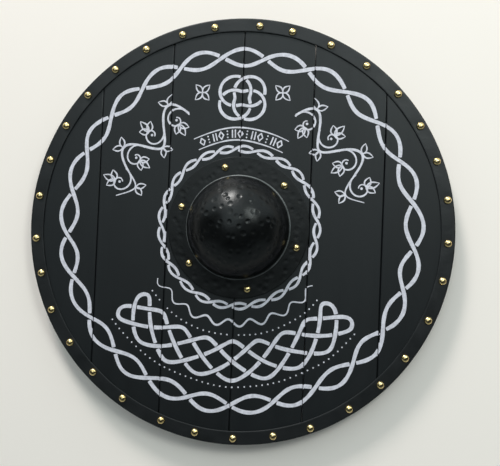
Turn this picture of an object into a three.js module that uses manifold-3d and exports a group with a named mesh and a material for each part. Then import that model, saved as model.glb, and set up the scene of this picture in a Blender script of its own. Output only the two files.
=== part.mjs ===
// Wooden round shield: painted planks edge to edge, a steel rim band held by a ring of brass
// dome tacks, a hammered steel boss over the hand hole held by brass rivets, and behind the
// board a grip bar between two battens.
// Millimetres, +Z up. The shield lies on its back with the boss up and the planks along Y.
// The origin is on the surface that it lies on, below the middle of the board.

import * as THREE from 'three';
import { mergeVertices } from 'three/addons/utils/BufferGeometryUtils.js';
import Module from 'manifold-3d';

// Board
const shieldDiameter = 610; // over the rim band
const boardThickness = 11;
const plankWidth = 102.4;
const plankJoint = 0.4; // open joint between two planks
const plankEase = 1; // bevel along the long edges of a plank

// Rim band, a sheet folded round the edge of the board
const rimSheet = 1.5;
const rimFrontWidth = 19.5;
const rimBackWidth = 14;
const rimCornerRadius = 2;

// Rim tacks
const tackCount = 33;
const tackHeadDiameter = 11;
const tackHeadHeight = 4;
const tackShankDiameter = 2.4;
const tackTipCover = 3.5; // wood left below the tip of a tack
const tackFirstAngle = 9.6; // degrees from +X, counted towards +Y
// The tacks were set by hand: degrees on from even spacing, and mm outwards from their ring
const tackTurns = [
  0.5, 0.4, 0.1, -0.2, 0.5, 1.0, 1.5, -0.1, 1.7, 0.2, 0.4, 0, -0.2, -0.4, -0.6, -0.8, 0.4,
  -0.5, -0.6, -0.8, -1.0, -0.7, 0.9, 0, -0.2, 0, -0.5, 0.3, 0.1, -1.0, 0, 0.4, -0.3,
];
const tackShifts = [
  1.8, 0.4, 0.4, 1.2, 0, -1.1, -1.9, -1.3, -1.6, -1.5, -0.7, -0.5, 0, -0.4, -0.9, 0.3, 0.6,
  -0.8, 0.3, -2, -2, -2, -2, -0.9, 0.3, 0, 1.8, 0.9, 0.2, 0.2, 0, 0.2, -0.2,
];

// Boss, one sheet with a dome and a flat flange
const bossDomeDiameter = 146.8;
const bossHeight = 68; // from the board to the top of the dome
const bossSheet = 1.6;
const bossFlangeWidth = 28;
const bossRootRadius = 2.6; // the bend between the dome and the flange
const bossOffsetX = 1.5; // the boss sits a little off the middle of the board
const bossOffsetY = 3.3;

// Boss rivets
const rivetCount = 6;
const rivetHeadDiameter = 10.5;
const rivetHeadHeight = 4.2;
const rivetShankDiameter = 4;
const rivetTailDiameter = 7.5;
const rivetTailHeight = 2;
const rivetFirstAngle = 42;
const rivetTurns = [2.2, 2.5, 0, -3.7, -1.1, 0.9]; // degrees on from even spacing
const rivetShifts = [-0.2, -0.8, -2, -1.6, 0.1, -0.9]; // mm outwards from the ring

// Hand hole, grip bar and battens
const handHoleMargin = 8; // how far the hole stays inside the foot of the dome
const barThickness = 16; // the grip bar and the battens, which the shield lies on
const barEdgeRadius = 3;
const barEndRadius = 10;
const barEndMargin = 8; // from the ends of the bars to the rim band
const gripWidth = 38;
const gripHandWidth = 29;
const gripHandRadius = 6; // rounding of the part that the hand holds
const gripFlareLength = 16; // over which the bar widens beside the hand
const battenWidth = 30;
const battenSpacing = 270; // from the middle of one batten to the middle of the other

// Fits
const seatGap = 0.3; // between two pieces that rest on each other
const holeClearance = 0.3; // round a shank in its hole
const cutMargin = 1; // how far a cut runs past the faces that it opens

// Facets
const discFacets = 64;
const domeFacets = 40;
const domeSteps = 6;
const tackFacets = 10;
const tackSteps = 2;
const rivetFacets = 12;
const rivetSteps = 3;
const tailSteps = 2;
const holeFacets = 6;

// Heights and radii that follow from the sizes
const boardBack = barThickness + seatGap;
const boardFront = boardBack + boardThickness;
const rimOuterRadius = shieldDiameter / 2;
const rimWallRadius = rimOuterRadius - rimSheet;
const rimBackInnerRadius = rimOuterRadius - rimBackWidth;
const boardRadius = rimWallRadius - seatGap;
const rimFrontTop = boardFront + seatGap + rimSheet;
const rimBackBottom = boardBack - seatGap - rimSheet;
const tackSeat = rimFrontTop + seatGap;
const tackRingRadius = rimOuterRadius - rimFrontWidth / 2;
const tackTip = boardBack + tackTipCover;
const domeRadius = bossDomeDiameter / 2;
const bossSeat = boardFront + seatGap;
const rivetSeat = bossSeat + bossSheet + seatGap;
const rivetRingRadius = domeRadius + (bossRootRadius + bossFlangeWidth) / 2;
const handHoleRadius = domeRadius - handHoleMargin;

const wasm = await Module();
wasm.setup();

// Solids for cuts and joins, from a closed geometry and back
function toSolid(geometry) {
  const bare = geometry.clone();
  bare.deleteAttribute('normal');
  bare.deleteAttribute('uv');
  const merged = mergeVertices(bare, 1e-4);
  return new wasm.Manifold(new wasm.Mesh({
    numProp: 3,
    vertProperties: new Float32Array(merged.attributes.position.array),
    triVerts: new Uint32Array(merged.index.array),
  }));
}

function toGeometry(solid) {
  const mesh = solid.getMesh();
  const geometry = new THREE.BufferGeometry();
  geometry.setAttribute('position', new THREE.Float32BufferAttribute(mesh.vertProperties, 3));
  geometry.setIndex(Array.from(mesh.triVerts));
  geometry.computeVertexNormals();
  return geometry;
}

// A shape turned about Z, from [radius, height] points that run from the top down outside
function turned(profile, facets) {
  const points = profile.map(([radius, height]) => new THREE.Vector2(radius, height)).reverse();
  return new THREE.LatheGeometry(points, facets).rotateX(Math.PI / 2);
}

// An upright round bar between two heights, for holes and for the outline of the board
function upright(radius, bottom, top, facets) {
  return new THREE.CylinderGeometry(radius, radius, top - bottom, facets)
    .rotateX(Math.PI / 2)
    .translate(0, 0, (bottom + top) / 2);
}

// Points of a quarter round from the top of a dome down to its edge
function domeProfile(radius, height, base, steps) {
  const points = [];
  for (let step = 0; step <= steps; step += 1) {
    const angle = (step / steps) * (Math.PI / 2);
    points.push([radius * Math.sin(angle), base + height * Math.cos(angle)]);
  }
  points[0][0] = 0;
  return points;
}

// A round hole whose flats keep the clearance to the shank in it
function drill(shankDiameter, bottom, top) {
  const radius = (shankDiameter / 2 + holeClearance) / Math.cos(Math.PI / holeFacets);
  return upright(radius, bottom, top, holeFacets);
}

// The same hole at each of several places, joined for one cut
function drillAll(places, shankDiameter, bottom, top) {
  return places
    .map(([x, y]) => toSolid(drill(shankDiameter, bottom, top).translate(x, y, 0)))
    .reduce((all, hole) => all.add(hole));
}

// Places on a ring that was set out by hand: even steps, each with its own turn and shift
function handSetRing(count, radius, first, turns, shifts) {
  const places = [];
  for (let index = 0; index < count; index += 1) {
    const even = first + (index * 360) / count;
    const angle = THREE.MathUtils.degToRad(even + turns[index % turns.length]);
    const reach = radius + shifts[index % shifts.length];
    places.push([reach * Math.cos(angle), reach * Math.sin(angle)]);
  }
  return places;
}

const tackPlaces = handSetRing(tackCount, tackRingRadius, tackFirstAngle, tackTurns, tackShifts);
const rivetPlaces = handSetRing(rivetCount, rivetRingRadius, rivetFirstAngle, rivetTurns, rivetShifts)
  .map(([x, y]) => [x + bossOffsetX, y + bossOffsetY]);

const woodPaint = () => new THREE.MeshStandardMaterial({ color: 0x2b2e32, roughness: 0.5, metalness: 0 });
const steelPaint = () => new THREE.MeshStandardMaterial({ color: 0x202326, roughness: 0.35, metalness: 0.4 });
const brass = () => new THREE.MeshStandardMaterial({ color: 0xc9a44e, roughness: 0.25, metalness: 1 });
const bareWood = () => new THREE.MeshStandardMaterial({ color: 0x8a6a45, roughness: 0.7, metalness: 0 });

const shield = new THREE.Group();

function add(name, geometry, material, x = 0, y = 0, z = 0) {
  const mesh = new THREE.Mesh(geometry, material);
  mesh.name = name;
  mesh.position.set(x, y, z);
  shield.add(mesh);
}

// Holes that go through or into the board
function boardCuts() {
  const over = boardFront + cutMargin;
  const under = boardBack - cutMargin;
  const handHole = upright(handHoleRadius, under, over, domeFacets);
  return drillAll(tackPlaces, tackShankDiameter, tackTip - holeClearance, over)
    .add(drillAll(rivetPlaces, rivetShankDiameter, under, over))
    .add(toSolid(handHole.translate(bossOffsetX, bossOffsetY, 0)));
}

// A plank: bevelled along both long edges, cut round at its ends to the outline of the board
function plank(left, right, outline, cuts) {
  const section = new THREE.Shape();
  section.moveTo(left + plankEase, boardBack);
  section.lineTo(right - plankEase, boardBack);
  section.lineTo(right, boardBack + plankEase);
  section.lineTo(right, boardFront - plankEase);
  section.lineTo(right - plankEase, boardFront);
  section.lineTo(left + plankEase, boardFront);
  section.lineTo(left, boardFront - plankEase);
  section.lineTo(left, boardBack + plankEase);
  section.closePath();
  const board = new THREE.ExtrudeGeometry(section, { depth: shieldDiameter, bevelEnabled: false })
    .rotateX(Math.PI / 2)
    .translate(0, rimOuterRadius, 0);
  return toGeometry(toSolid(board).intersect(outline).subtract(cuts));
}

// The joints step out from the middle, and the outermost planks run on to the rim
function planks() {
  const outline = toSolid(upright(boardRadius, boardBack, boardFront, discFacets));
  const cuts = boardCuts();
  const half = Math.max(1, Math.round(boardRadius / plankWidth));
  for (let index = -half; index < half; index += 1) {
    const left = index === -half ? -rimOuterRadius : index * plankWidth + plankJoint / 2;
    const right = index === half - 1 ? rimOuterRadius : (index + 1) * plankWidth - plankJoint / 2;
    add(`plank_${index + half + 1}`, plank(left, right, outline, cuts), woodPaint());
  }
}

// The band: front flange, wall round the edge of the board, back flange
function rimBand() {
  const corner = (height, angles) => angles.map((degrees) => {
    const angle = THREE.MathUtils.degToRad(degrees);
    return [
      rimOuterRadius - rimCornerRadius + rimCornerRadius * Math.cos(angle),
      height + rimCornerRadius * Math.sin(angle),
    ];
  });
  const profile = [
    [rimOuterRadius - rimFrontWidth, rimFrontTop],
    ...corner(rimFrontTop - rimCornerRadius, [90, 45, 0]),
    ...corner(rimBackBottom + rimCornerRadius, [0, -90]),
    [rimBackInnerRadius, rimBackBottom],
    [rimBackInnerRadius, rimBackBottom + rimSheet],
    [rimWallRadius, rimBackBottom + rimSheet],
    [rimWallRadius, rimFrontTop - rimSheet],
    [rimOuterRadius - rimFrontWidth, rimFrontTop - rimSheet],
    [rimOuterRadius - rimFrontWidth, rimFrontTop],
  ];
  const band = toSolid(turned(profile, discFacets));
  const holes = drillAll(tackPlaces, tackShankDiameter, boardFront, rimFrontTop + cutMargin);
  add('rim_band', toGeometry(band.subtract(holes)), steelPaint());
}

// A dome tack: solid head on the band, straight shank in the wood
function tacks() {
  const shank = tackShankDiameter / 2;
  const profile = [
    ...domeProfile(tackHeadDiameter / 2, tackHeadHeight, 0, tackSteps),
    [shank, 0],
    [shank, tackTip - tackSeat],
    [0, tackTip - tackSeat],
  ];
  tackPlaces.forEach(([x, y], index) => {
    add(`rim_tack_${index + 1}`, turned(profile, tackFacets), brass(), x, y, tackSeat);
  });
}

// The boss: dome, bend and flange of one thickness, open behind over the hand hole
function boss() {
  const bendHeight = bossSheet + bossRootRadius;
  const bendCentre = domeRadius + bossRootRadius;
  const bend = (radius, angles) => angles.map((degrees) => {
    const angle = THREE.MathUtils.degToRad(degrees);
    return [bendCentre - radius * Math.cos(angle), bendHeight - radius * Math.sin(angle)];
  });
  const flangeRadius = domeRadius + bossFlangeWidth;
  const inner = domeProfile(domeRadius - bossSheet, bossHeight - bossSheet - bendHeight, bendHeight,
    domeSteps).reverse();
  const profile = [
    ...domeProfile(domeRadius, bossHeight - bendHeight, bendHeight, domeSteps),
    ...bend(bossRootRadius, [30, 60, 90]),
    [flangeRadius, bossSheet],
    [flangeRadius, 0],
    ...bend(bossRootRadius + bossSheet, [90, 60, 30]),
    ...inner,
  ];
  const shell = toSolid(turned(profile, domeFacets).translate(bossOffsetX, bossOffsetY, bossSeat));
  const holes = drillAll(rivetPlaces, rivetShankDiameter, bossSeat - cutMargin, rivetSeat + cutMargin);
  add('boss', toGeometry(shell.subtract(holes)), steelPaint());
}

// A rivet: round head on the flange, shank through the board, tail closed up behind it
function rivets() {
  const shank = rivetShankDiameter / 2;
  const tailSeat = boardBack - seatGap - rivetSeat;
  const tail = domeProfile(rivetTailDiameter / 2, -rivetTailHeight, tailSeat, tailSteps).reverse();
  const profile = [
    ...domeProfile(rivetHeadDiameter / 2, rivetHeadHeight, 0, rivetSteps),
    [shank, 0],
    [shank, tailSeat],
    ...tail,
  ];
  rivetPlaces.forEach(([x, y], index) => {
    add(`boss_rivet_${index + 1}`, turned(profile, rivetFacets), brass(), x, y, rivetSeat);
  });
}

// How far a rounded edge stands back, at a depth below the face that it rounds
function roundedBack(depth, radius) {
  if (depth >= radius) return 0;
  return radius - Math.sqrt(radius * radius - (radius - depth) ** 2);
}

// A bar along X: closed loops of half width over the length, one above another, capped flat
function bar(stations, halfWidth, heights) {
  const loops = heights.map((height) => {
    const side = stations.map((x) => [x, halfWidth(x, height)]);
    return [...side.map(([x, y]) => [x, -y]), ...side.reverse()];
  });
  const count = loops[0].length;
  const corners = [];
  const faces = [];
  loops.forEach((loop, level) => loop.forEach(([x, y]) => corners.push(x, y, heights[level])));
  for (let level = 0; level < loops.length - 1; level += 1) {
    for (let here = 0; here < count; here += 1) {
      const low = level * count;
      const next = (here + 1) % count;
      faces.push(low + here, low + next, low + count + next);
      faces.push(low + here, low + count + next, low + count + here);
    }
  }
  const cap = (level, flip) => {
    const outline = loops[level].map(([x, y]) => new THREE.Vector2(x, y));
    for (const [a, b, c] of THREE.ShapeUtils.triangulateShape(outline, [])) {
      const low = level * count;
      faces.push(low + a, low + (flip ? c : b), low + (flip ? b : c));
    }
  };
  cap(0, true);
  cap(loops.length - 1, false);
  const geometry = new THREE.BufferGeometry();
  geometry.setAttribute('position', new THREE.Float32BufferAttribute(corners, 3));
  geometry.setIndex(faces);
  geometry.computeVertexNormals();
  return geometry;
}

// Half the length that fits behind the board at a distance from its middle, clear of the rim
function halfLengthAt(farEdge) {
  return Math.sqrt(rimBackInnerRadius ** 2 - farEdge ** 2) - barEndMargin;
}

// The corners at the ends of a bar are rounded, by a third of its width at most
function endRadius(width) {
  return Math.min(barEndRadius, width / 3);
}

// Stations at the rounded ends of a bar, from the end inwards
function endStations(halfLength, width) {
  return [0, 30, 60, 90].map((degrees) => {
    const angle = THREE.MathUtils.degToRad(degrees);
    return halfLength - endRadius(width) * (1 - Math.cos(angle));
  });
}

// Half the width of a plain bar: less at its rounded ends and at the rounded edges behind
function plainHalfWidth(x, height, halfLength, width) {
  const atEnd = roundedBack(halfLength - Math.abs(x), endRadius(width));
  return width / 2 - atEnd - roundedBack(height, Math.min(barEdgeRadius, width / 7));
}

function batten(name, y) {
  const halfLength = halfLengthAt(Math.abs(y) + battenWidth / 2);
  const ends = endStations(halfLength, battenWidth);
  const stations = [...ends.map((x) => -x), ...ends.reverse()];
  const halfWidth = (x, height) => plainHalfWidth(x, height, halfLength, battenWidth);
  const heights = [0, barEdgeRadius / 3, barEdgeRadius, barThickness];
  add(name, bar(stations, halfWidth, heights), bareWood(), 0, y, 0);
}

// The grip narrows and is rounded all round where the hand holds it, across the hand hole
function grip() {
  const reach = Math.abs(bossOffsetX);
  const halfLength = halfLengthAt(gripWidth / 2 + Math.abs(bossOffsetY)) - reach;
  const handHalf = handHoleRadius - gripFlareLength;
  const ends = endStations(halfLength, gripWidth);
  const flare = [1, 0.7, 0.3, 0].map((share) => handHalf + share * gripFlareLength);
  const positive = [...ends, ...flare].reverse();
  const stations = [...[...positive].reverse().map((x) => -x), ...positive];
  const held = (x) => 1 - THREE.MathUtils.smoothstep(Math.abs(x), handHalf, handHoleRadius);
  const halfWidth = (x, height) => {
    const plain = plainHalfWidth(x, height, halfLength, gripWidth);
    const depth = Math.min(height, barThickness - height);
    const hand = gripHandWidth / 2 - roundedBack(depth, gripHandRadius);
    return THREE.MathUtils.lerp(plain, hand, held(x));
  };
  const heights = [0, barEdgeRadius / 3, barEdgeRadius, gripHandRadius,
    barThickness - gripHandRadius, barThickness - gripHandRadius / 3, barThickness];
  add('grip_bar', bar(stations, halfWidth, heights), bareWood(), bossOffsetX, bossOffsetY, 0);
}

planks();
rimBand();
tacks();
boss();
rivets();
grip();
batten('batten_upper', battenSpacing / 2);
batten('batten_lower', -battenSpacing / 2);

export default shield;
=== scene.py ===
import math

import bpy
import numpy as np
from mathutils import Matrix, Vector
from mathutils.geometry import delaunay_2d_cdt


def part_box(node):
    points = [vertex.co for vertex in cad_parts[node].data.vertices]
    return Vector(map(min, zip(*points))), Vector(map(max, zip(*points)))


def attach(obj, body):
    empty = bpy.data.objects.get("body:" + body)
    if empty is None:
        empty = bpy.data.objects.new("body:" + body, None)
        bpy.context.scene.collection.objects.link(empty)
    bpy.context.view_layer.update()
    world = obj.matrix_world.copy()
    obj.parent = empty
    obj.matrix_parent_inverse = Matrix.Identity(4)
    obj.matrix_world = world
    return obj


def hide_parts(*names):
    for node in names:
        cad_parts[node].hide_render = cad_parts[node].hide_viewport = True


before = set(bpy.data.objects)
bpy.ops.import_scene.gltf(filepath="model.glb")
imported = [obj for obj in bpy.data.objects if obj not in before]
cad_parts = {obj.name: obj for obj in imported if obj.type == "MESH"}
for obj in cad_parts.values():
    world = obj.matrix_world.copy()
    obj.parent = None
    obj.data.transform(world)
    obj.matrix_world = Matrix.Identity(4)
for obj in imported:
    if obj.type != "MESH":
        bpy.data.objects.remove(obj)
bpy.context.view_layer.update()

scene = bpy.context.scene
mm = 0.001


# Planks
# Six softwood boards stand edge to edge with open joints. They are cut round at their ends, eased
# along their edges and painted satin black. The pattern is brushed on in one coat of off-white.
# It is only colour, so its strokes are faces of the same flat front.

def box_mm(node):
    """The lowest and the highest corner of a node, in millimetres."""
    return tuple(np.array(corner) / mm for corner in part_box(node))


plank_names = sorted(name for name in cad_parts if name.startswith("plank_"))
board_back, board_front = (corner[2] for corner in box_mm(plank_names[0]))
rim_radius = box_mm("rim_band")[1][0]
rim_sheet = 1.5
seat_gap = 0.3
board_radius = rim_radius - rim_sheet - seat_gap
plank_ease = 1.5
boss_low, boss_high = box_mm("boss")
boss_centre = 0.5 * (boss_low + boss_high)[:2]
flange_radius = 0.5 * (boss_high - boss_low)[0]
flange_width = 28
dome_radius = flange_radius - flange_width
hand_hole_margin = 8
hand_hole_radius = dome_radius - hand_hole_margin


def steady(points, step):
    """The same line with points one step apart, by its length from the first point."""
    lengths = np.hypot(*np.diff(points, axis=0).T)
    along = np.concatenate([[0.0], np.cumsum(lengths)])
    places = np.linspace(0.0, along[-1], max(3, int(along[-1] / step) + 1))
    return np.stack([np.interp(places, along, points[:, axis]) for axis in (0, 1)], axis=1)


def by_hand(points):
    """A painter's slow drift: each point moves by two long waves of its place on the board."""
    x, y = points.T
    across = np.sin(0.052 * x + 0.031 * y + 0.4) + 0.6 * np.sin(0.021 * x - 0.083 * y + 2.1)
    up = np.sin(0.043 * y - 0.037 * x + 1.7) + 0.6 * np.sin(0.077 * x + 0.026 * y + 5.0)
    return points + 0.75 * np.stack([across, up], axis=1)


strokes = []


def brush(points, width, start=1.0, end=1.0, cap=0.45):
    """One brush stroke as a closed outline. Its half width swells a little along the way and
    runs down to the given shares at its two ends, which are rounded by cap half widths."""
    line = by_hand(steady(np.asarray(points, float), max(1.2, 0.45 * width)))
    way = np.gradient(line, axis=0)
    way /= np.hypot(*way.T)[:, None]
    side = np.stack([-way[:, 1], way[:, 0]], axis=1)
    share = np.linspace(0.0, 1.0, len(line))
    taper = np.minimum(1.0, start + (1 - start) * share / 0.35)
    taper = np.minimum(taper, end + (1 - end) * (1 - share) / 0.35)
    swell = 1 + 0.07 * np.sin(0.19 * line[:, 0] + 0.23 * line[:, 1])
    half = (0.5 * width * taper * swell)[:, None]
    turn = np.radians([60.0, 30.0, 0.0, -30.0, -60.0])[:, None]
    ends = []
    for place, outwards in ((-1, 1.0), (0, -1.0)):
        round_end = outwards * (cap * np.cos(turn) * way[place] + np.sin(turn) * side[place])
        ends.append(line[place] + half[place] * round_end)
    strokes.append(np.concatenate([line + half * side, ends[0], (line - half * side)[::-1], ends[1]]))


def dot(centre, radius):
    """A dab of the brush: a circle of ten corners."""
    turn = np.radians(np.arange(0, 360, 36))
    ring = np.stack([np.cos(turn), np.sin(turn)], axis=1)
    strokes.append(by_hand(np.asarray(centre, float)[None, :]) + radius * ring)


def polar(radius, degrees, centre=(0.0, 0.0)):
    """Points at a radius and an angle round a centre, counted from the right."""
    angle = np.radians(np.asarray(degrees, float))
    radius = np.broadcast_to(np.asarray(radius, float), angle.shape)
    return np.stack([radius * np.cos(angle), radius * np.sin(angle)], axis=-1) + np.asarray(centre)


def knot(curve, width, gap):
    """Paints a closed curve as an alternating knot. The places where it crosses itself are
    numbered along it, and at every second one it runs under, with a gap on both sides."""
    here, there = curve, np.roll(curve, -1, axis=0)
    run = there - here
    length = np.hypot(*run.T)
    along = np.concatenate([[0.0], np.cumsum(length)])
    cross = run[:, None, 0] * run[None, :, 1] - run[:, None, 1] * run[None, :, 0]
    apart = here[None, :] - here[:, None]
    with np.errstate(divide="ignore", invalid="ignore"):
        first = (apart[..., 0] * run[None, :, 1] - apart[..., 1] * run[None, :, 0]) / cross
        second = (apart[..., 0] * run[:, None, 1] - apart[..., 1] * run[:, None, 0]) / cross
    meets = (first >= 0) & (first < 1) & (second >= 0) & (second < 1)
    number = np.arange(len(curve))
    i, j = np.nonzero(meets & (np.abs(np.subtract.outer(number, number)) > 1))
    place = along[i] + first[i, j] * length[i]
    slant = np.abs(cross[i, j]) / (length[i] * length[j])
    under = np.argsort(place)[1::2]
    reach = (0.5 * width + gap) / np.maximum(slant[under], 0.35)
    total = along[-1]
    starts, stops = place[under] + reach, place[under] - reach
    stops = np.append(stops[1:], stops[0] + total)
    closed = np.concatenate([curve, curve, curve[:1]])
    doubled = np.concatenate([along, along[1:] + total])
    for start, stop in zip(starts, stops):
        if stop - start < 0.5 * width:
            continue
        places = np.linspace(start, stop, max(4, int((stop - start) / 1.5)))
        line = np.stack([np.interp(places, doubled, closed[:, axis]) for axis in (0, 1)], axis=1)
        brush(line, width, cap=0.25)


def plaited_ring(centre, radius, swing, bights, leads, width, gap, turned=0.0):
    """A ring plait of one strand. It goes round as often as it has leads, and its radius
    swings out once for each bight: radius + swing * cos(bights * angle / leads)."""
    angle = np.linspace(0.0, 360.0 * leads, 48 * bights, endpoint=False)
    swung = radius + swing * np.cos(np.radians(angle * bights / leads))
    knot(polar(swung, angle + turned, centre), width, gap)


def zigzag(angle, sharp):
    """A zigzag from -1 to 1 with rounded turns: arcsin(sharp * sin) over its own height."""
    return np.arcsin(sharp * np.sin(angle)) / math.asin(sharp)


def bent_plait(radius, reach, first, last, bights, width, gap):
    """A plait of four leads bent along an arc. It runs to and fro twice along the arc while
    it swings across bights times, both as rounded zigzags."""
    turn = np.linspace(0.0, 2 * math.pi, 110 * bights, endpoint=False)
    across = zigzag(bights * turn, 0.93)
    along = zigzag(2 * turn, 0.985)
    degrees = 0.5 * (first + last) + 0.5 * (last - first) * along
    knot(polar(radius + reach * across, degrees), width, gap)


def leaf(foot, heading, length, width, stroke):
    """An outlined leaf: two strokes from its foot that bow out by sin and meet in a point."""
    share = np.linspace(0.0, 1.0, 15)
    way = np.array([math.cos(heading), math.sin(heading)])
    side = np.array([-way[1], way[0]])
    bow = 0.5 * width * np.sin(math.pi * share ** 0.85)
    for hand in (1, -1):
        line = foot + length * share[:, None] * way + hand * bow[:, None] * side
        brush(line, stroke, start=0.9, end=0.45)


def running_vine(hand, radius, swing, first, last, waves):
    """A vine scroll on one half of the board. Along its arc the stem is swing * sin(phase). In
    each bend a tendril winds in as a spiral, r = start * exp(-0.22 * angle), round a bud, with
    three leaves on it, and two leaves stand on the back of the bend."""
    flip = np.array([hand, 1.0])
    wave = math.radians(first - last) * radius / waves

    def on_board(place):
        along, across = np.asarray(place, float).T
        return flip * polar(radius + across, first - np.degrees(along / radius))

    def sprout(foot, heading, length, width):
        tip = np.asarray(foot) + length * np.array([math.cos(heading), math.sin(heading)])
        foot, tip = on_board([foot, tip])
        leaf(foot, math.atan2(*(tip - foot)[::-1]), length, width, 2.1)

    along = np.linspace(0, wave * waves, 70 * waves)
    brush(on_board(np.column_stack([along, swing * np.sin(2 * math.pi * along / wave)])), 3.4, end=0.4)
    turn = np.linspace(0, 2.35 * math.pi, 60)
    for bend in range(2 * waves):
        side = 1 if bend % 2 == 0 else -1
        middle = np.array([(bend + 0.5) * wave / 2, -2.0 * side])
        reach = 0.25 * wave * np.exp(-0.22 * turn)
        spiral = np.column_stack([-np.cos(turn), side * np.sin(turn)]) * reach[:, None]
        brush(on_board(middle + spiral), 2.4, end=0.7)
        dot(on_board([middle])[0], 1.9)
        open_side = -side * math.pi / 2
        foot = middle + np.array([0, -6.5 * side])
        for lean, length in ((-0.85, 15), (0.0, 19), (0.85, 15)):
            sprout(foot, open_side + lean, length, 8.5)
        for lean in (-0.7, 0.7):
            sprout(middle + [0, side * (swing + 3.0)], lean - open_side, 15, 7.5)


def paint_pattern():
    """The whole pattern: two plaited rings, a rosette between two flowers over a band of marks,
    a vine on each side, and under a wavy line a plait between rows of dots."""
    thick, middle, thin = 5.4, 3.8, 2.2
    plaited_ring((0, 0), 249, 12, 25, 2, thick, 2.0, turned=3.6)
    plaited_ring(boss_centre, 112.5, 4.4, 25, 2, middle, 1.4)
    plaited_ring((0, 190), 23, 13, 4, 3, 4.4, 1.6, turned=45)
    bent_plait(187, 27, 216, 324, 9, thick, 2.0)
    for hand in (1, -1):
        running_vine(hand, 184, 22, 65, 14, 2)
        for quarter in range(4):
            leaf(np.array([58.0 * hand, 197.0]), math.radians(90 * quarter + 45), 15, 7.5, 2.0)
    for radius in (128, 146):
        brush(polar(radius, np.linspace(62, 118, 60)), thin, 0.6, 0.6)
    for index, degrees in enumerate(np.linspace(66, 114, 13)):
        out = polar(1.0, degrees)
        side = np.array([-out[1], out[0]])
        centre = polar(137, degrees)
        if index % 3 == 0:
            corners = [centre + 5.5 * out, centre + 3.6 * side, centre - 5.5 * out, centre - 3.6 * side]
            for a, b in zip(corners, corners[1:] + corners[:1]):
                brush([a, b], 1.9, cap=0.6)
        elif index % 3 == 1:
            for shift in (-2.2, 2.2):
                brush([centre + 5.5 * out + shift * side, centre - 5.5 * out + shift * side], 2.0)
        else:
            for shift in (-4.5, 0.0, 4.5):
                dot(centre + shift * out, 1.2)
    for radius in (187 - 36, 187 + 36):
        for degrees in np.arange(218, 322.1, math.degrees(8.5 / radius)):
            dot(polar(radius, degrees), 1.15)
    wave = np.linspace(214, 326, 400)
    scroll = polar(134 + 5.0 * np.sin(np.radians((wave - 214) * 360 / 14)), wave)
    brush(scroll, 2.8, 0.5, 0.5)


paint_pattern()


def plank_outline(left, right, inset):
    """The outline of a plank, anticlockwise from the foot of its right edge and stood back by
    inset: the edges x = left and x = right, the board's circle between them, and the circle of
    the hand hole where an edge meets it. Each stretch keeps its number of points."""
    radius = board_radius - inset
    hole = hand_hole_radius + inset

    def edge(x, side):
        if abs(x) > radius - 0.01:
            return np.array([[math.copysign(radius, x), 0.0]])
        reach = side * math.sqrt(radius ** 2 - x ** 2)
        ends = np.array([[x, -reach], [x, reach]])
        beside = x - boss_centre[0]
        if abs(beside) > hole:
            return ends
        half = math.acos(beside / hole)
        turn = np.linspace(-half, half - 2 * math.pi, 120) if side > 0 else np.linspace(half, -half, 120)
        bite = boss_centre + hole * np.stack([np.cos(turn), np.sin(turn)], axis=1)
        return np.concatenate([ends[:1], bite, ends[1:]])

    def arc(first, last):
        count = 2 + int((right - left) / 2)
        turn = np.linspace(first, last, count)[1:-1]
        return radius * np.stack([np.cos(turn), np.sin(turn)], axis=1)

    from_right = math.acos(min(1.0, (right - inset) / radius))
    from_left = math.acos(max(-1.0, (left + inset) / radius))
    return np.concatenate([
        edge(right - inset, 1), arc(from_right, from_left),
        edge(left + inset, -1), arc(2 * math.pi - from_left, 2 * math.pi - from_right)])


def inside(points, outline):
    """Which points an outline goes round: of its edges that pass on their right, as many go up
    as go down for a point outside."""
    x, y = points[:, 0, None], points[:, 1, None]
    x0, y0 = outline.T
    x1, y1 = np.roll(outline, -1, axis=0).T
    passes = (y0 <= y) != (y1 <= y)
    rise = np.where(y1 == y0, 1.0, y1 - y0)
    right_of = x0 + (y - y0) * (x1 - x0) / rise > x
    return np.where(passes & right_of, np.sign(y1 - y0), 0).sum(axis=1) != 0


def triangles(loops):
    """A flat net of triangles that has every edge of the loops, over all that lies in the first
    one. Returns its corners and its triangles, anticlockwise."""
    coords = np.concatenate(loops)
    starts = np.cumsum([0] + [len(loop) for loop in loops])
    edges = [(start + i, start + (i + 1) % len(loop))
             for start, loop in zip(starts, loops) for i in range(len(loop))]
    net = delaunay_2d_cdt([Vector(point) for point in coords], edges, [], 0, 1e-4, False)
    corners = np.array([tuple(point) for point in net[0]])
    faces = np.array(net[2])
    faces = faces[inside(corners[faces].mean(axis=1), loops[0])]
    a, b, c = corners[faces].transpose(1, 0, 2)
    clockwise = (b - a)[:, 0] * (c - a)[:, 1] < (b - a)[:, 1] * (c - a)[:, 0]
    faces[clockwise] = faces[clockwise][:, ::-1]
    used, numbers = np.unique(faces, return_inverse=True)
    return corners[used], numbers.reshape(-1, 3)


def open_edges(faces):
    """The edges of a net that only one triangle has, with the number of that triangle."""
    sides = np.concatenate([faces[:, [0, 1]], faces[:, [1, 2]], faces[:, [2, 0]]])
    _, first, count = np.unique(np.sort(sides, axis=1), axis=0, return_index=True, return_counts=True)
    single = first[count == 1]
    return sides[single], single % len(faces)


def along_loop(points, loop):
    """For points on a closed loop, the number of their stretch of it and the share along that."""
    run = np.roll(loop, -1, axis=0) - loop
    apart = points[:, None] - loop[None]
    share = np.clip((apart * run).sum(axis=-1) / (run ** 2).sum(axis=-1), 0, 1)
    stretch = ((apart - share[..., None] * run) ** 2).sum(axis=-1).argmin(axis=1)
    return stretch, share[np.arange(len(points)), stretch]


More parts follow.
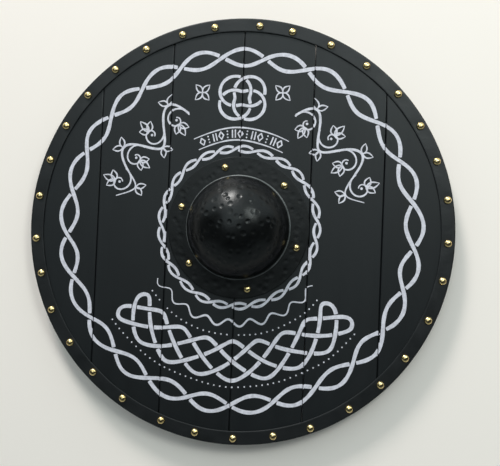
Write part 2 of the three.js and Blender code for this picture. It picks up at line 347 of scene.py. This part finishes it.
def make_piece(name, corners, faces, materials, finish=0, smooth=True):
    """A piece from corners in millimetres. finish is the number of each face's material, and
    smooth says which faces are shaded round."""
    mesh = bpy.data.meshes.new(name)
    mesh.from_pydata((np.asarray(corners) * mm).tolist(), [], faces)
    for material in materials:
        mesh.materials.append(material)
    count = len(faces)
    mesh.polygons.foreach_set("material_index", np.broadcast_to(finish, count).astype(np.int32))
    mesh.polygons.foreach_set("use_smooth", np.broadcast_to(smooth, count).astype(bool))
    mesh.update()
    piece = bpy.data.objects.new(name, mesh)
    scene.collection.objects.link(piece)
    return piece


def plank(name, left, right, low, high, materials):
    """A plank as one closed mesh: a flat painted front, a quarter round of plank_ease down to
    the side, the same at the back, and a flat back. The rows of the edge follow the outline at
    insets ease * (1 - cos), at the places of the corners on the edge of the front."""
    outline = plank_outline(left, right, plank_ease)
    near = [s for s in strokes if s[:, 0].min() < right and s[:, 0].max() > left]
    front, faces = triangles([outline] + near)
    middles = front[faces].mean(axis=1)
    white = np.zeros(len(faces), bool)
    for stroke in near:
        in_box = ((middles > stroke.min(axis=0)) & (middles < stroke.max(axis=0))).all(axis=1)
        some = np.flatnonzero(in_box & ~white)
        white[some] = inside(middles[some], stroke)

    edges, owners = open_edges(faces)
    border = np.unique(edges)
    stretch, share = along_loop(front[border], outline)
    order = np.argsort(stretch + share)
    border, stretch, share = border[order], stretch[order], share[order, None]
    size = len(border)

    turns = np.radians([90, 60, 30, 0, 0, -30, -60, -90])
    insets = plank_ease * (1 - np.cos(turns))
    heights = np.where(np.arange(8) < 4, high - plank_ease, low + plank_ease) + plank_ease * np.sin(turns)
    rows = []
    for inset, height in zip(insets, heights):
        loop = plank_outline(left, right, inset)
        after = np.roll(loop, -1, axis=0)
        flat = loop[stretch] * (1 - share) + after[stretch] * share
        rows.append(np.column_stack([flat, np.full(size, height)]))
    rows[0][:, :2] = front[border]

    numbers = [border] + [len(front) + size * k + np.arange(size) for k in range(7)]
    quads = [np.stack([upper, lower, np.roll(lower, -1), np.roll(upper, -1)], axis=1)
             for upper, lower in zip(numbers, numbers[1:])]
    place = {number: index for index, number in enumerate(border)}
    colour = np.zeros(size, bool)
    colour[[place[a] for a, _ in edges]] = white[owners]
    back, back_faces = triangles([rows[-1][:, :2]])
    nearest = ((back[:, None] - rows[-1][None, :, :2]) ** 2).sum(axis=-1).argmin(axis=1)
    back_numbers = numbers[-1][nearest]

    corners = np.concatenate([np.column_stack([front, np.full(len(front), high)])] + rows[1:])
    all_faces = faces.tolist() + np.concatenate(quads).tolist()
    all_faces += back_numbers[back_faces][:, ::-1].tolist()
    finish = np.concatenate([white, np.tile(colour, 2), np.zeros(5 * size + len(back_faces), bool)])
    edge_faces = np.zeros(len(all_faces), bool)
    edge_faces[len(faces):len(faces) + 7 * size] = True
    return make_piece(name, corners, all_faces, materials, finish, edge_faces)


class Finish:
    """A material and short ways to add nodes to it."""

    def __init__(self, name):
        self.material = bpy.data.materials.new(name)
        self.material.use_nodes = True
        self.tree = self.material.node_tree
        self.shader = self.tree.nodes["Principled BSDF"]
        self.place = self.tree.nodes.new("ShaderNodeTexCoord").outputs["Object"]

    def plain(self, **values):
        """Sets values on the shader, with spaces in their names written as underscores."""
        for name, value in values.items():
            self.shader.inputs[name.replace("_", " ")].default_value = value

    def add(self, kind, inputs, **settings):
        """A node with its inputs linked to sockets or set to values."""
        node = self.tree.nodes.new(kind)
        for name, value in settings.items():
            setattr(node, name, value)
        for name, value in inputs.items():
            if isinstance(value, bpy.types.NodeSocket):
                self.tree.links.new(value, node.inputs[name])
            else:
                node.inputs[name].default_value = value
        return node

    def stretched(self, scale, shift=(0, 0, 0)):
        """The place on the piece, stretched by a scale for each axis."""
        inputs = {"Vector": self.place, "Scale": scale, "Location": shift}
        return self.add("ShaderNodeMapping", inputs).outputs["Vector"]

    def noise(self, scale, detail=3.0, rough=0.55, stretch=(1, 1, 1), shift=(0, 0, 0)):
        """Noise from 0 to 1, scale spots to a metre."""
        where = self.stretched(stretch, shift)
        inputs = {"Vector": where, "Scale": scale, "Detail": detail, "Roughness": rough}
        return self.add("ShaderNodeTexNoise", inputs).outputs["Fac"]

    def between(self, value, low, high, first, last):
        """value from low to high, turned into first to last and kept between them."""
        inputs = {"Value": value, "From Min": low, "From Max": high, "To Min": first, "To Max": last}
        return self.add("ShaderNodeMapRange", inputs).outputs["Result"]

    def mixed(self, share, one, other):
        """A colour between two, by a share from 0 to 1."""
        node = self.tree.nodes.new("ShaderNodeMix")
        node.data_type = "RGBA"
        self.tree.links.new(share, node.inputs[0])
        for socket, colour in ((node.inputs[6], one), (node.inputs[7], other)):
            if isinstance(colour, bpy.types.NodeSocket):
                self.tree.links.new(colour, socket)
            else:
                socket.default_value = (*colour, 1)
        return node.outputs[2]

    def bump(self, height, depth, before=None):
        """A bump of a height from 0 to 1 over a depth in metres, on top of an earlier one."""
        inputs = {"Height": height, "Distance": depth, "Strength": 1.0}
        if before is not None:
            inputs["Normal"] = before
        return self.add("ShaderNodeBump", inputs).outputs["Normal"]

    def done(self, colour=None, roughness=None, normal=None):
        """Links what was made to the shader and returns the material."""
        for name, socket in (("Base Color", colour), ("Roughness", roughness), ("Normal", normal)):
            if socket is not None:
                self.tree.links.new(socket, self.shader.inputs[name])
        return self.material


def black_wood_paint():
    """Satin black on planed softwood: faint grain along the planks shows through the coat."""
    paint = Finish("satin black paint on wood")
    grain = paint.noise(420, 4, 0.6, (1, 0.045, 1))
    streaks = paint.noise(60, 3, 0.5, (1, 0.05, 1), (0.3, 0, 0))
    patches = paint.noise(9, 3, 0.6, (1, 0.5, 1))
    tone = paint.between(patches, 0.35, 0.68, 0.0, 1.0)
    colour = paint.mixed(tone, (0.0026, 0.0034, 0.0042), (0.0045, 0.0056, 0.0066))
    rough = paint.between(streaks, 0.3, 0.7, 0.41, 0.49)
    normal = paint.bump(grain, 0.00009)
    normal = paint.bump(streaks, 0.00022, normal)
    paint.plain(IOR=1.42)
    return paint.done(colour, rough, normal)


def white_brush_paint():
    """Off-white brushed on thinly: the black below dims it in patches."""
    paint = Finish("off-white brushed paint")
    patches = paint.noise(150, 4, 0.65)
    tone = paint.between(patches, 0.3, 0.62, 0.0, 1.0)
    colour = paint.mixed(tone, (0.515, 0.49, 0.545), (0.72, 0.69, 0.755))
    rough = paint.between(patches, 0.3, 0.7, 0.62, 0.5)
    grain = paint.noise(420, 4, 0.6, (1, 0.045, 1))
    normal = paint.bump(grain, 0.00006)
    return paint.done(colour, rough, normal)


plank_paints = [black_wood_paint(), white_brush_paint()]
for name in plank_names:
    low, high = box_mm(name)
    at_left, at_right = name == plank_names[0], name == plank_names[-1]
    left = -board_radius if at_left else low[0]
    right = board_radius if at_right else high[0]
    piece = plank(f"painted_{name}", left, right, board_back, board_front, plank_paints)
    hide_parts(name)
    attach(piece, "root")


# Rim band
# A strip of thin sheet steel, folded round the edge of the board and painted satin black. The
# tacks pull its front flange down, so it stands up a little between them.

def skin(loops, ring=False):
    """Faces over a (loops, corners, 3) grid of closed loops: quads between neighbouring loops.
    A ring joins its last loop to the first, and otherwise a face closes each end. If the
    volume that the quads enclose about their middle comes out negative, all faces are turned."""
    count, size = loops.shape[:2]
    loop = np.arange(count if ring else count - 1)[:, None]
    here = np.arange(size)[None, :]
    after = (here + 1) % size
    low, high = loop * size, (loop + 1) % count * size
    quads = np.stack([low + here, low + after, high + after, high + here], axis=-1).reshape(-1, 4)
    corners = loops.reshape(-1, 3)
    a, b, c, d = (corners - corners.mean(axis=0))[quads].transpose(1, 0, 2)
    volume = (a * (np.cross(b, c) + np.cross(c, d))).sum()
    faces = quads.tolist()
    if not ring:
        faces.append(list(range(size))[::-1])
        faces.append(list(range((count - 1) * size, count * size)))
    if volume < 0:
        faces = [face[::-1] for face in faces]
    return corners, faces


def arc(centre, radius, first, last, count):
    """Points on an arc from one angle to another, in degrees."""
    return polar(radius, np.linspace(first, last, count), centre)


rim_front_width = 19.5
rim_back_width = 14
rim_corner_radius = 2
rim_edge_radius = 0.5
rim_back, rim_front = (corner[2] for corner in box_mm("rim_band"))
tack_names = sorted((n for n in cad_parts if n.startswith("rim_tack_")), key=lambda n: int(n[9:]))
tack_boxes = np.array([box_mm(name) for name in tack_names])
tack_places = tack_boxes.mean(axis=1)[:, :2]


def rim_section():
    """The folded sheet's section as (radius, height): front flange, wall, back flange, and the
    same way back inside the sheet."""
    out = rim_radius - rim_corner_radius
    front_edge = rim_radius - rim_front_width + rim_edge_radius
    back_edge = rim_radius - rim_back_width + rim_edge_radius
    wall = rim_radius - rim_sheet
    flange = np.linspace(front_edge, out, 12)[:-1]
    inner_flange = np.linspace(wall - 0.5, front_edge, 8)[:-1]
    return np.concatenate([
        np.stack([flange, np.full_like(flange, rim_front)], axis=1),
        arc((out, rim_front - rim_corner_radius), rim_corner_radius, 90, 0, 7),
        arc((out, rim_back + rim_corner_radius), rim_corner_radius, 0, -90, 7),
        arc((back_edge, rim_back + rim_edge_radius), rim_edge_radius, -90, -180, 3),
        arc((back_edge, rim_back + rim_sheet - rim_edge_radius), rim_edge_radius, 180, 90, 3),
        [[wall, rim_back + rim_sheet], [wall, rim_front - rim_sheet]],
        np.stack([inner_flange, np.full_like(inner_flange, rim_front - rim_sheet)], axis=1),
        arc((front_edge, rim_front - rim_sheet + rim_edge_radius), rim_edge_radius, 270, 180, 3),
        arc((front_edge, rim_front - rim_edge_radius), rim_edge_radius, 180, 90, 3)[:-1],
    ])


def rim_band():
    """The section carried round the board. At angle a the front flange rises by
    lift * (1 - cos(tack phase)) / 2 towards its inner edge, sinks by a bell of the distance to
    each tack, and its inner edge wanders by three slow waves."""
    lift, sink, sink_radius, wander = 0.5, 0.3, 7.0, 0.35
    steps = len(tack_names) * 32
    angle = np.linspace(0, 2 * math.pi, steps, endpoint=False)[:, None]
    radius, height = rim_section().T[:, None, :]
    tack_angles = np.sort(np.arctan2(tack_places[:, 1], tack_places[:, 0]) % (2 * math.pi))
    tack_angles = np.concatenate([[tack_angles[-1] - 2 * math.pi], tack_angles,
                                  [tack_angles[0] + 2 * math.pi]])
    phase = np.interp(angle, tack_angles, np.arange(len(tack_angles)))
    on_front = height > rim_front - rim_sheet - 0.1
    share = np.clip((rim_radius - rim_corner_radius - radius) / rim_front_width, 0, 1) * on_front
    drift = np.sin(5 * angle + 1) + np.sin(13 * angle + 4) + 0.7 * np.sin(37 * angle + 2)
    r = radius + share * wander * drift / 2.7
    x, y = r * np.cos(angle), r * np.sin(angle)
    gap = np.full(x.shape, 1e3)
    for tack_x, tack_y in tack_places:
        gap = np.minimum(gap, np.hypot(x - tack_x, y - tack_y))
    z = height + share * lift * (0.5 - 0.5 * np.cos(2 * math.pi * phase))
    z = z - np.where(on_front, sink * np.exp(-(gap / sink_radius) ** 2), 0)
    return skin(np.stack([x, y, np.broadcast_to(z, x.shape)], axis=-1), ring=True)


def rim_paint():
    """Satin black on sheet steel, a little rubbed."""
    paint = Finish("satin black paint on the rim")
    patches = paint.noise(34, 4, 0.6)
    fine = paint.noise(700, 3, 0.6)
    tone = paint.between(patches, 0.35, 0.7, 0.0, 1.0)
    colour = paint.mixed(tone, (0.005, 0.0055, 0.006), (0.0085, 0.009, 0.010))
    rough = paint.between(patches, 0.3, 0.7, 0.40, 0.50)
    normal = paint.bump(fine, 0.00004)
    normal = paint.bump(patches, 0.0006, normal)
    paint.plain(IOR=1.42)
    return paint.done(colour, rough, normal)


rim = make_piece("folded_rim_band", *rim_band(), [rim_paint()])
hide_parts("rim_band")
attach(rim, "root")


# Rim tacks
# Brass tacks with round solid heads, driven through the band into the board by hand, so none
# stands quite straight.

def turned(profile, count):
    """Closed loops round the Z axis, one for each (radius, height) of a profile."""
    angle = np.linspace(0, 2 * math.pi, count, endpoint=False)[None, :]
    radius, height = np.asarray(profile, float).T[:, :, None]
    return np.stack([radius * np.cos(angle), radius * np.sin(angle),
                     np.broadcast_to(height, (len(profile), count))], axis=-1)


def dome(radius, height, steps, fullness=2.0):
    """A dome's profile from its top down: (radius * sin, height * cos), each raised to
    2 / fullness."""
    turn = np.radians(np.linspace(1.5, 90, steps))
    power = 2 / fullness
    return np.stack([radius * np.sin(turn) ** power, height * np.cos(turn) ** power], axis=1)


def leaned(loops, degrees, towards):
    """The loops tipped by a small angle towards a direction, about the origin."""
    tip = Matrix.Rotation(math.radians(degrees), 3, Vector((-math.sin(towards), math.cos(towards), 0)))
    return loops @ np.array(tip).T


def brass(name, spots):
    """Polished brass with handling marks, darker and rougher in spots."""
    metal = Finish(name)
    cloud = metal.noise(spots, 4, 0.6)
    fine = metal.noise(2600, 2, 0.5)
    tone = metal.between(cloud, 0.38, 0.66, 0.0, 1.0)
    colour = metal.mixed(tone, (0.72, 0.51, 0.21), (0.88, 0.69, 0.37))
    rough = metal.between(cloud, 0.3, 0.7, 0.28, 0.17)
    normal = metal.bump(fine, 0.000012)
    normal = metal.bump(cloud, 0.00012, normal)
    metal.plain(Metallic=1.0)
    return metal.done(colour, rough, normal)


chance = np.random.default_rng(33)
tack_brass = brass("polished brass of the tacks", 420)
tack_head_radius = 5.5
tack_seat = 0.15
tack_skirt = 0.35
tack_lean = 2.5  # degrees at most
for name, (low, high) in zip(tack_names, tack_boxes):
    centre = 0.5 * (low + high)[:2]
    head_radius = tack_head_radius * chance.uniform(0.975, 1.0)
    head_height = high[2] - rim_front - 2 * tack_seat
    profile = np.concatenate([dome(head_radius, head_height, 15, 2.15),
                              [(head_radius, -tack_skirt), (0.4, -tack_skirt)]])
    loops = leaned(turned(profile, 36), chance.uniform(0, tack_lean), chance.uniform(0, 2 * math.pi))
    loops = loops + np.array([*centre, rim_front + tack_seat])
    tack = make_piece(f"brass_{name}", *skin(loops), [tack_brass])
    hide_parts(name)
    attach(tack, "root")


# Boss
# One sheet of steel, raised into a dome with a flat flange by hammering and painted black. The
# hammer left round dents all over the dome, and fainter ones on the flange.

boss_seat, boss_top = boss_low[2], boss_high[2]
boss_sheet = 1.6
boss_root = 2.6
flange_slope = 0.05
boss_facets = 432
dome_rows = 130
bend_rows = 9
# rows of the bend at the foot of the dome that take the pale grey painted highlight
highlight_rows = 6
flange_rows = 20
golden_angle = math.radians(137.508)


def boss_profile():
    """(radius, height) from the top of the dome down outside to the edge of the flange and back
    inside: quarter ellipses for the dome and quarter circles for the bend at its foot."""
    bend_height = boss_seat + boss_sheet + boss_root
    bend_radius = dome_radius + boss_root
    outer = dome(dome_radius, boss_top - bend_height, dome_rows)
    inner = dome(dome_radius - boss_sheet, boss_top - boss_sheet - bend_height, 40)
    edge = 0.45
    top = boss_seat + boss_sheet
    flange = np.linspace(bend_radius, flange_radius - edge, flange_rows + 2)[1:-1]
    rise = flange_slope * (flange_radius - edge - flange)
    return np.concatenate([
        outer + [0, bend_height],
        arc((bend_radius, bend_height), boss_root, 180, 270, bend_rows + 1)[1:] + [0, rise[0]],
        np.stack([flange, top + rise], axis=1),
        arc((flange_radius - edge, top - edge), edge, 90, 0, 4),
        arc((flange_radius - edge, boss_seat + edge), edge, 0, -90, 4),
        arc((bend_radius, bend_height), boss_root + boss_sheet, 270, 180, 8),
        (inner + [0, bend_height])[::-1][1:],
    ])


def dent(places, centres, radii, depths):
    """How deep each place lies below the sheet: for each dent depth * (1 - (d / radius)^2)^1.1
    at a distance d from its centre, and the deepest counts."""
    depth = np.zeros(len(places))
    for centre, radius, deep in zip(centres, radii, depths):
        square = ((places - centre) ** 2).sum(axis=1) / radius ** 2
        depth = np.maximum(depth, deep * np.clip(1 - square, 0, None) ** 1.1)
    return depth


def hammered_boss():
    """The profile turned, then struck. The dents sit on a golden-angle spiral over the dome,
    with seeded shifts. Broad waves of the dome's own angle make it slightly uneven."""
    profile = boss_profile()
    loops = turned(profile, boss_facets) + np.array([*boss_centre, 0.0])
    places = loops.reshape(-1, 3)
    middle = np.array([*boss_centre, boss_seat + boss_sheet + boss_root])
    rows = np.repeat(np.arange(len(profile)), boss_facets)
    outside = rows < dome_rows
    rise = boss_top - middle[2]

    strikes = 170
    number = np.arange(strikes)
    level = 1 - (number + 0.5) / strikes * 0.93
    spiral = number * golden_angle + chance.normal(0, 0.09, strikes)
    level = np.clip(level + chance.normal(0, 0.018, strikes), 0.02, 0.995)
    across = np.sqrt(1 - level ** 2)
    unit = np.stack([across * np.cos(spiral), across * np.sin(spiral), level], axis=1)
    centres = middle + unit * np.array([dome_radius, dome_radius, rise])
    radii = chance.uniform(3.2, 4.6, strikes)
    depths = chance.uniform(0.32, 0.68, strikes) * (1.0 + 0.35 * unit[:, 1])
    depth = np.where(outside, dent(places, centres, radii, depths), 0)

    away = places - middle
    normal = away / np.array([dome_radius, dome_radius, rise]) ** 2
    normal /= np.linalg.norm(normal, axis=1)[:, None]
    waves = (np.sin(0.11 * away[:, 0] + 0.07 * away[:, 1] + 1.0) + np.sin(0.13 * away[:, 1] + 2.2)
             + np.sin(0.12 * away[:, 2] - 0.09 * away[:, 0] + 0.5))
    depth = depth + np.where(outside, 0.22 * (1.5 + waves / 2) * np.clip(away[:, 2] / 12, 0, 1), 0)
    places = places - np.where(outside[:, None], normal * depth[:, None], 0)

    flange_start = dome_rows + bend_rows
    on_flange = (rows > flange_start) & (rows <= flange_start + flange_rows)
    marks = 80
    ring = chance.uniform(dome_radius + 7, flange_radius - 4, marks)
    about = number[:marks] * golden_angle + 0.3
    spots = np.stack([boss_centre[0] + ring * np.cos(about), boss_centre[1] + ring * np.sin(about),
                      np.full(marks, boss_seat + boss_sheet)], axis=1)
    pressed = dent(places, spots, chance.uniform(3.2, 5.5, marks), chance.uniform(0.18, 0.45, marks))
    places[:, 2] -= np.where(on_flange, pressed, 0)
    corners, faces = skin(places.reshape(loops.shape))
    finish = np.zeros(len(faces), int)
    row = np.repeat(np.arange(len(profile) - 1), boss_facets)
    # Material 2, on the first rows of the bend, is pale grey paint: a painted highlight along the bend.
    highlight_or_flange = np.where(row < dome_rows + highlight_rows, 2, 1)
    finish[:len(row)] = np.where(row < dome_rows, 0, highlight_or_flange)
    return corners, faces, finish


def boss_paint(name, low, high, speckle, ior):
    """Black paint on hammered steel, between two roughnesses, with the sheen of an ior."""
    paint = Finish(name)
    cloud = paint.noise(55, 4, 0.6)
    fine = paint.noise(900, 3, 0.6)
    tone = paint.between(cloud, 0.35, 0.7, 0.0, 1.0)
    colour = paint.mixed(tone, (0.0028, 0.003, 0.0032), (0.0045, 0.005, 0.0052))
    rough = paint.between(cloud, 0.3, 0.7, low, high)
    normal = paint.bump(fine, speckle)
    normal = paint.bump(cloud, 0.0004, normal)
    paint.plain(IOR=ior)
    return paint.done(colour, rough, normal)


dome_paint = boss_paint("glossy black paint on the dome", 0.26, 0.33, 0.00002, 1.33)
flange_paint = boss_paint("satin black paint on the flange", 0.36, 0.48, 0.00006, 1.33)


def bend_highlight_paint():
    """A pale grey ring painted along the bend at the foot of the dome: a painted highlight for the light
    line that the bend catches.
    """
    metal = Finish("painted highlight at the foot of the dome")
    cloud = metal.noise(60, 4, 0.6)
    tone = metal.between(cloud, 0.35, 0.65, 0.0, 1.0)
    colour = metal.mixed(tone, (0.06, 0.064, 0.064), (0.135, 0.14, 0.14))
    rough = metal.between(cloud, 0.3, 0.7, 0.5, 0.34)
    return metal.done(colour, rough)


corners, faces, finish = hammered_boss()
# The third material is the painted highlight along the bend at the foot of the dome.
boss = make_piece("hammered_boss", corners, faces, [dome_paint, flange_paint, bend_highlight_paint()], finish)
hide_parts("boss")
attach(boss, "root")


# Boss rivets
# Brass rivets with round heads on the flange. Each goes through the board and is closed up to
# a low round tail behind it.

rivet_names = sorted(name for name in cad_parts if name.startswith("boss_rivet_"))
rivet_brass = brass("polished brass of the rivets", 380)
rivet_shank_radius = 2.0
rivet_tail_radius = 3.75
rivet_tail_height = 2.0
rivet_seat = 0.15
flange_top = boss_seat + boss_sheet
for name in rivet_names:
    low, high = box_mm(name)
    centre = 0.5 * (low + high)[:2]
    head_radius = 0.5 * (high - low)[0]
    head = dome(head_radius, high[2] - flange_top - rivet_seat, 15, 2.1)
    tail = dome(rivet_tail_radius, rivet_tail_height, 8)[::-1] * [1, -1]
    tail_seat = low[2] + rivet_tail_height
    profile = np.concatenate([
        head + [0, flange_top + rivet_seat],
        [(head_radius, flange_top - 0.1), (rivet_shank_radius, flange_top - 0.1)],
        [(rivet_shank_radius, tail_seat + seat_gap), (rivet_tail_radius, tail_seat + seat_gap)],
        tail + [0, tail_seat]])
    loops = turned(profile, 36) + np.array([*centre, 0.0])
    rivet = make_piece(f"brass_{name}", *skin(loops), [rivet_brass])
    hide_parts(name)
    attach(rivet, "root")


# Grip bar and battens
# Three bars of stained softwood behind the board. The grip bar is shaped round where the hand
# holds it. Brass screws with slotted heads hold each bar, one to a plank.

bar_edge = 3.0
seated_edge = 0.5
hand_edge = 6.0
bar_face = 0.6
screw_head_radius = 3.6
screw_face = 0.1
hand_half_width = 14.5
hand_flare = 16
plank_joint = 0.4
plank_pitch = box_mm(plank_names[3])[1][0] + plank_joint / 2


def rounded_bar(stations, half, radius, low, high, front_radius):
    """Closed sections along X, at each station a rectangle of half width half from low to high
    with its corners rounded by radius behind and front_radius in front."""
    turn = np.radians(np.linspace(0, 90, 6))[None, :]
    half, radius, front = half[:, None], radius[:, None], front_radius[:, None]
    quarters = [
        (half - radius + radius * np.sin(turn), low + radius - radius * np.cos(turn)),
        (half - front + front * np.cos(turn), high - front + front * np.sin(turn)),
        (-(half - front) - front * np.sin(turn), high - front + front * np.cos(turn)),
        (-(half - radius) - radius * np.cos(turn), low + radius - radius * np.sin(turn)),
    ]
    y = np.concatenate([quarter[0] for quarter in quarters], axis=1)
    z = np.concatenate([quarter[1] for quarter in quarters], axis=1)
    x = np.broadcast_to(stations[:, None], y.shape)
    return np.stack([x, y, z], axis=-1)


def bar_wood():
    """Softwood with a dark stain: grain lines along the bar and paler pores."""
    wood = Finish("dark stained softwood")
    rings = wood.noise(260, 5, 0.62, (0.035, 1, 1))
    cloud = wood.noise(26, 3, 0.5, (0.3, 1, 1))
    tone = wood.between(rings, 0.34, 0.66, 0.0, 1.0)
    shade = wood.between(cloud, 0.3, 0.7, 0.0, 1.0)
    dark = wood.mixed(shade, (0.045, 0.024, 0.012), (0.075, 0.040, 0.020))
    pale = wood.mixed(shade, (0.12, 0.068, 0.034), (0.17, 0.098, 0.050))
    colour = wood.mixed(tone, dark, pale)
    rough = wood.between(rings, 0.3, 0.7, 0.62, 0.5)
    normal = wood.bump(rings, 0.00025)
    return wood.done(colour, rough, normal)


def slotted_head(x, y, face, turn):
    """A flat head that looks down: two half discs beside a straight slot, on a cone."""
    slot_half, slot_depth = 0.55, 0.42
    start = math.asin(slot_half / screw_head_radius)
    angle = np.linspace(start, math.pi - start, 19)
    half_disc = screw_head_radius * np.stack([np.cos(angle), np.sin(angle)], axis=1)
    parts = []
    for side in (0.0, math.pi):
        way = turn + side
        spin = np.array([[math.cos(way), math.sin(way)], [-math.sin(way), math.cos(way)]])
        flat = half_disc @ spin + [x, y]
        loops = np.stack([np.column_stack([flat, np.full(19, face + depth)]) for depth in (0, slot_depth)])
        parts.append(skin(loops))
    cone = [(screw_head_radius, slot_depth), (1.6, slot_depth + 2.2)]
    loops = turned(cone, 24) + np.array([x, y, face])
    parts.append(skin(loops))
    corners = np.concatenate([part[0] for part in parts])
    starts = np.cumsum([0] + [len(part[0]) for part in parts])
    faces = [[number + start for number in face_numbers]
             for start, part in zip(starts, parts) for face_numbers in part[1]]
    return corners, faces


def bar_screws(name, places):
    """The screws of one bar, each at a place (x, y) with its slot as it happened to stop."""
    for index, (x, y) in enumerate(places):
        corners, faces = slotted_head(x, y, screw_face, chance.uniform(0, math.pi))
        screw = make_piece(f"{name}_screw_{index + 1}", corners, faces, [rivet_brass], smooth=False)
        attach(screw, "root")


stained = bar_wood()
for node, label in (("grip_bar", "shaped_grip_bar"), ("batten_upper", "stained_batten_upper"),
                    ("batten_lower", "stained_batten_lower")):
    low, high = box_mm(node)
    centre = 0.5 * (low + high)
    length, width = 0.5 * (high - low)[:2]
    end_radius = min(10.0, 2 * width / 3)
    turn = np.radians(np.linspace(4, 90, 9))
    ends = length - end_radius * (1 - np.cos(turn[::-1]))
    stations = np.concatenate([-ends[::-1], np.linspace(-ends[0], ends[0], 200)[1:-1], ends])
    from_end = length - np.abs(stations)
    past_end = np.clip(end_radius - from_end, 0, None)
    back = end_radius - np.sqrt(np.clip(end_radius ** 2 - past_end ** 2, 0, None))
    half = width - back
    radius = np.full(len(stations), bar_edge)
    front_radius = np.full(len(stations), seated_edge)
    if node == "grip_bar":
        held = np.clip((hand_hole_radius - np.abs(stations)) / hand_flare, 0, 1)
        held = held ** 2 * (3 - 2 * held)
        half = half + (hand_half_width - half) * held
        radius = radius + (hand_edge - bar_edge) * held
        front_radius = front_radius + (hand_edge - seated_edge) * held
    loops = rounded_bar(stations, half, radius, low[2] + bar_face, high[2], front_radius)
    loops = loops + np.array([centre[0], centre[1], 0.0])
    screw_reach = [0.5 * plank_pitch, 1.5 * plank_pitch, 0.92 * length]
    if node == "grip_bar":
        screw_reach[0] = 0.5 * (hand_hole_radius + plank_pitch)
    places = np.array([(centre[0] + side * reach, centre[1]) for side in (-1, 1) for reach in screw_reach])
    bar = make_piece(label, *skin(loops), [stained])
    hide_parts(node)
    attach(bar, "root")
    bar_screws(label, places)


# Floor, light and camera
# The shield lies on a plain pale floor, and the camera looks straight down on it. Two soft
# lights and a room that is bright on one side give the sheen on the upper half of the board.

def plain_floor():
    """A pale matt floor under the part."""
    ground = Finish("pale floor")
    ground.plain(Base_Color=(0.985, 0.885, 0.82, 1), Roughness=0.9, Specular_IOR_Level=0.1)
    half = 15000.0
    corners = np.array([(-half, -half, -0.2), (half, -half, -0.2), (half, half, -0.2), (-half, half, -0.2)])
    return make_piece("floor", corners, [[0, 1, 2, 3]], [ground.material], smooth=False)


plain_floor()


def room_light(dark, bright, window, low_side, horizon, backdrop):
    """The room as a light, with a strength for each part. Overhead it is dark, and bright in the
    middle of the side that is up in the picture. Lower down there is a window on that side, the
    low_side opposite and an even horizon. Seen directly it is one plain backdrop."""
    middle_shift = 0.14
    world = bpy.data.worlds.new("room")
    scene.world = world
    world.use_nodes = True
    tree = world.node_tree
    sky = tree.nodes["Background"]
    where = tree.nodes.new("ShaderNodeTexCoord").outputs["Generated"]
    split = tree.nodes.new("ShaderNodeSeparateXYZ")
    tree.links.new(where, split.inputs["Vector"])

    def smooth(value, low, high, first, last):
        """value from low to high, turned into a smooth step from first to last."""
        step = tree.nodes.new("ShaderNodeMapRange")
        step.interpolation_type = "SMOOTHSTEP"
        for name, number in (("From Min", low), ("From Max", high)):
            step.inputs[name].default_value = number
        for name, number in (("Value", value), ("To Min", first), ("To Max", last)):
            if isinstance(number, bpy.types.NodeSocket):
                tree.links.new(number, step.inputs[name])
            else:
                step.inputs[name].default_value = number
        return step.outputs["Result"]

    beside = tree.nodes.new("ShaderNodeMath")
    beside.operation = "ADD"
    tree.links.new(split.outputs["X"], beside.inputs[0])
    beside.inputs[1].default_value = middle_shift
    offset = tree.nodes.new("ShaderNodeMath")
    offset.operation = "ABSOLUTE"
    tree.links.new(beside.outputs["Value"], offset.inputs[0])
    middle = smooth(offset.outputs["Value"], 0.43, 0.1, dark, bright)
    overhead = smooth(split.outputs["Y"], -0.12, 0.14, dark, middle)
    below = smooth(split.outputs["Y"], -0.5, -0.25, low_side, dark)
    around = smooth(split.outputs["Y"], 0.2, 0.5, below, window)
    all_round = smooth(split.outputs["Z"], 0.45, 0.8, around, overhead)
    level = smooth(split.outputs["Z"], 0.0, 0.12, horizon, all_round)
    seen = tree.nodes.new("ShaderNodeLightPath").outputs["Is Camera Ray"]
    tree.links.new(smooth(seen, 0.0, 1.0, level, backdrop), sky.inputs["Strength"])
    colour = tree.nodes.new("ShaderNodeMix")
    colour.data_type = "RGBA"
    tree.links.new(seen, colour.inputs[0])
    colour.inputs[6].default_value = (0.82, 0.97, 1.0, 1)
    colour.inputs[7].default_value = (0.97, 1.0, 0.98, 1)
    tree.links.new(colour.outputs[2], sky.inputs["Color"])


def soft_light(name, direction, distance, width, height, watts, colour=(1, 1, 1)):
    """A soft box that looks at the middle of the board from a direction."""
    lamp = bpy.data.lights.new(name, "AREA")
    lamp.shape = "RECTANGLE"
    lamp.size, lamp.size_y = width, height
    lamp.energy, lamp.color = watts, colour
    holder = bpy.data.objects.new(name, lamp)
    scene.collection.objects.link(holder)
    away = Vector(direction).normalized()
    holder.location = away * distance
    holder.rotation_euler = away.to_track_quat("Z", "Y").to_euler()


room_light(0.01, 1.8, 1.2, 0.36, 0.5, 0.5)
soft_light("far soft light", (-0.27, 0.87, 0.42), 3.3, 0.66, 0.62, 70, (1.0, 0.985, 0.96))
soft_light("near soft light", (0.42, 0.44, 0.79), 2.2, 0.66, 0.56, 14, (0.90, 1.0, 0.97))

camera_place = Vector((0.1063, -0.0275, 0.9691))
camera_aim = Vector((0.0188, -0.0039, 0.0273))
camera_lean = math.radians(-2.33)
focal_share = 663 / 500  # the focal length in widths of the picture
sensor_width = 36
camera = bpy.data.cameras.new("camera")
camera.sensor_fit = "HORIZONTAL"
camera.sensor_width = sensor_width
camera.lens = focal_share * sensor_width
camera.clip_start = 0.01
viewer = bpy.data.objects.new("camera", camera)
scene.collection.objects.link(viewer)
forward = (camera_aim - camera_place).normalized()
right_hand = forward.cross(Vector((math.sin(camera_lean), math.cos(camera_lean), 0))).normalized()
upward = right_hand.cross(forward)
turned_to = Matrix((right_hand, upward, -forward)).transposed().to_4x4()
viewer.matrix_world = Matrix.Translation(camera_place) @ turned_to
scene.camera = viewer
scene.view_settings.view_transform = "Standard"
